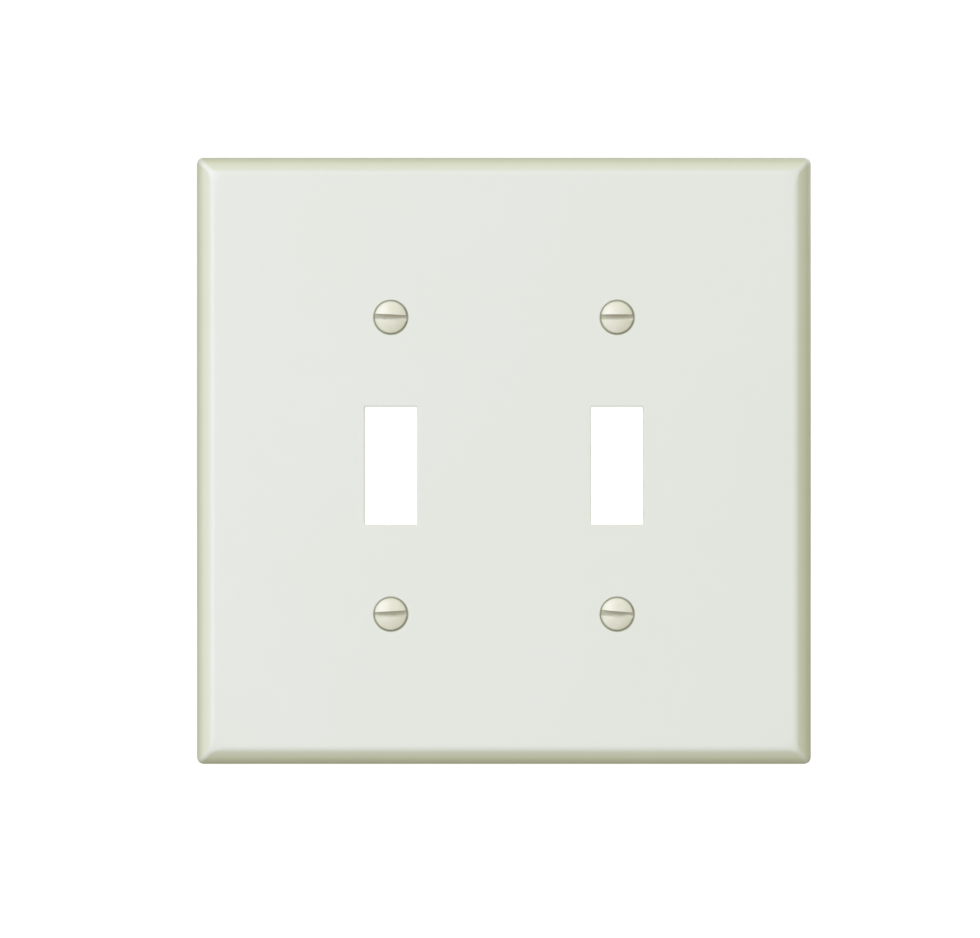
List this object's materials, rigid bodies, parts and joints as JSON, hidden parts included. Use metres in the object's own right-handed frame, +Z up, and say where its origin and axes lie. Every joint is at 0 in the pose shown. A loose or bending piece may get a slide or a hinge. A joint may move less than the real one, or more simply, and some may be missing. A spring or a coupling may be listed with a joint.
{
  "type": "two-gang toggle switch wall plate",
  "caption": "Bevelled moulded wall plate with paired rectangular toggle openings and captive slotted oval-head screws.",
  "frame": {"origin": "middle of the four screws' pattern, on the plane of the wall that the back rim rests on", "axes": "+X right, +Z up, +Y into the wall; the front face looks along -Y"},
  "size_m": [0.1254, 0.0137, 0.1238],
  "materials": {
    "plate_plastic": "satin",
    "screw_enamel": "gloss",
    "washer_nylon": "matte"
  },
  "bodies": {
    "plate": {"wall_plate": "plate_plastic"},
    "washer_top_left": {"retaining_washer_top_left": "washer_nylon"},
    "screw_top_left": {"screw_top_left": "screw_enamel"},
    "washer_top_right": {"retaining_washer_top_right": "washer_nylon"},
    "screw_top_right": {"screw_top_right": "screw_enamel"},
    "washer_bottom_left": {"retaining_washer_bottom_left": "washer_nylon"},
    "screw_bottom_left": {"screw_bottom_left": "screw_enamel"},
    "washer_bottom_right": {"retaining_washer_bottom_right": "washer_nylon"},
    "screw_bottom_right": {"screw_bottom_right": "screw_enamel"}
  },
  "joints": [
    {"name": "top_left_withdraw", "type": "slide", "parent": "plate", "child": "washer_top_left", "axis": [0, -1, 0], "range_m": [0, 0.0021]},
    {"name": "top_left_turn", "type": "hinge", "parent": "washer_top_left", "child": "screw_top_left", "pos_m": [-0.02301, 0, 0.03016], "axis": [0, -1, 0], "continuous": true},
    {"name": "top_right_withdraw", "type": "slide", "parent": "plate", "child": "washer_top_right", "axis": [0, -1, 0], "range_m": [0, 0.0021]},
    {"name": "top_right_turn", "type": "hinge", "parent": "washer_top_right", "child": "screw_top_right", "pos_m": [0.02301, 0, 0.03016], "axis": [0, -1, 0], "continuous": true},
    {"name": "bottom_left_withdraw", "type": "slide", "parent": "plate", "child": "washer_bottom_left", "axis": [0, -1, 0], "range_m": [0, 0.0021]},
    {"name": "bottom_left_turn", "type": "hinge", "parent": "washer_bottom_left", "child": "screw_bottom_left", "pos_m": [-0.02301, 0, -0.03016], "axis": [0, -1, 0], "continuous": true},
    {"name": "bottom_right_withdraw", "type": "slide", "parent": "plate", "child": "washer_bottom_right", "axis": [0, -1, 0], "range_m": [0, 0.0021]},
    {"name": "bottom_right_turn", "type": "hinge", "parent": "washer_bottom_right", "child": "screw_bottom_right", "pos_m": [0.02301, 0, -0.03016], "axis": [0, -1, 0], "continuous": true}
  ]
}
